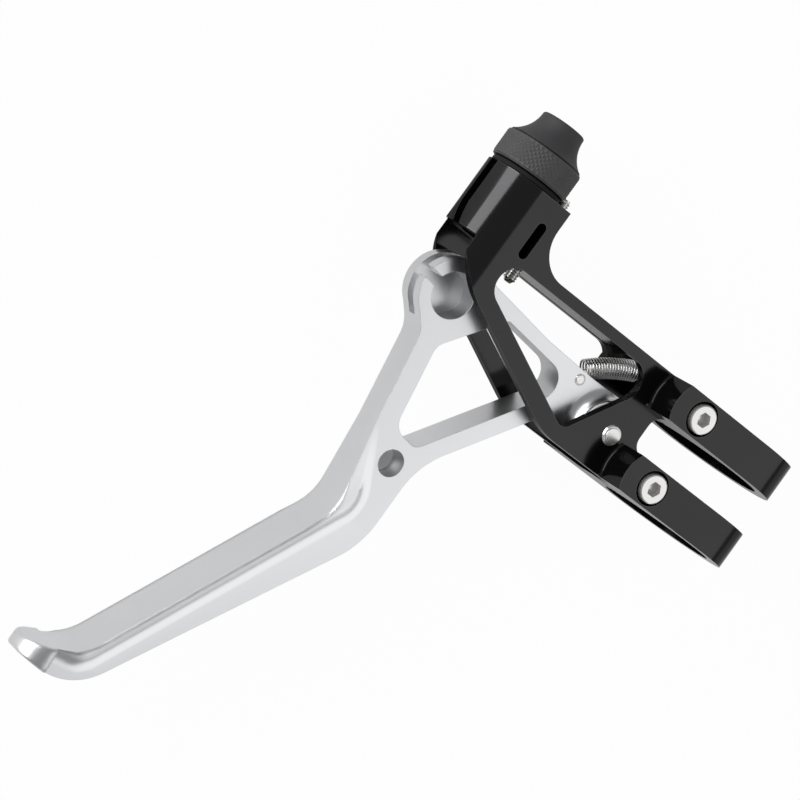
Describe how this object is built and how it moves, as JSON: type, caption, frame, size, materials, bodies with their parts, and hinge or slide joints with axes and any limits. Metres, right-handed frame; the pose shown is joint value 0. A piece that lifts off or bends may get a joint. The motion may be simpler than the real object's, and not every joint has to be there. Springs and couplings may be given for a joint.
{
  "type": "bicycle brake lever",
  "caption": "Machined brake lever: open lever arm pivoting between the cheeks of a bar clamp bracket, with return spring, reach screw and cable adjuster.",
  "frame": {"origin": "centre of the handlebar clamp, midway between its two rings", "axes": "+X along the handlebar towards the cable adjuster, +Y from the bar to the lever's pivot, +Z along the pivot pin towards the clamp bolts' heads"},
  "size_m": [0.1249, 0.106, 0.0276],
  "materials": {
    "bracket_black": "black anodised, satin",
    "lever_silver": "silver anodised, satin",
    "adjuster_black": "black anodised, matt",
    "steel": "bright",
    "bush": "plain",
    "washer": "plain",
    "ring_rubber": "matt"
  },
  "bodies": {
    "bracket": {"bracket_body": "bracket_black", "pivot_pin": "steel", "clamp_bolt_left": "steel", "clamp_bolt_right": "steel", "spring_anchor_pin": "steel", "return_spring": "steel"},
    "lever": {"lever_blade": "lever_silver", "pivot_bush_upper": "bush", "pivot_bush_lower": "bush", "pivot_washer_upper": "washer", "pivot_washer_lower": "washer", "spring_pin": "steel"},
    "reach_screw": {"reach_screw": "steel"},
    "adjuster_nose": {"adjuster_nose": "adjuster_black"},
    "adjuster_barrel": {"adjuster_barrel": "adjuster_black", "adjuster_ring": "ring_rubber"}
  },
  "joints": [
    {"name": "lever_pivot", "type": "hinge", "parent": "bracket", "child": "lever", "pos_m": [-0.004, 0.024, 0], "axis": [0, 0, 1], "range_deg": [0, 30], "stiffness_Nm_per_rad": 0.6, "deforming": ["return_spring"]},
    {"name": "reach_screw_travel", "type": "slide", "parent": "bracket", "child": "reach_screw", "axis": [1, 0, 0], "range_m": [-0.0015, 0.004]},
    {"name": "adjuster_travel", "type": "slide", "parent": "bracket", "child": "adjuster_nose", "axis": [1, 0, 0], "range_m": [0, 0.005]},
    {"name": "adjuster_turn", "type": "hinge", "parent": "adjuster_nose", "child": "adjuster_barrel", "pos_m": [0.025, 0.064, 0], "axis": [1, 0, 0], "range_deg": [0, 1800]}
  ],
  "couplings": [
    {"joint": "adjuster_travel", "follows": "adjuster_turn", "m_per_rad": 0.00015915}
  ]
}
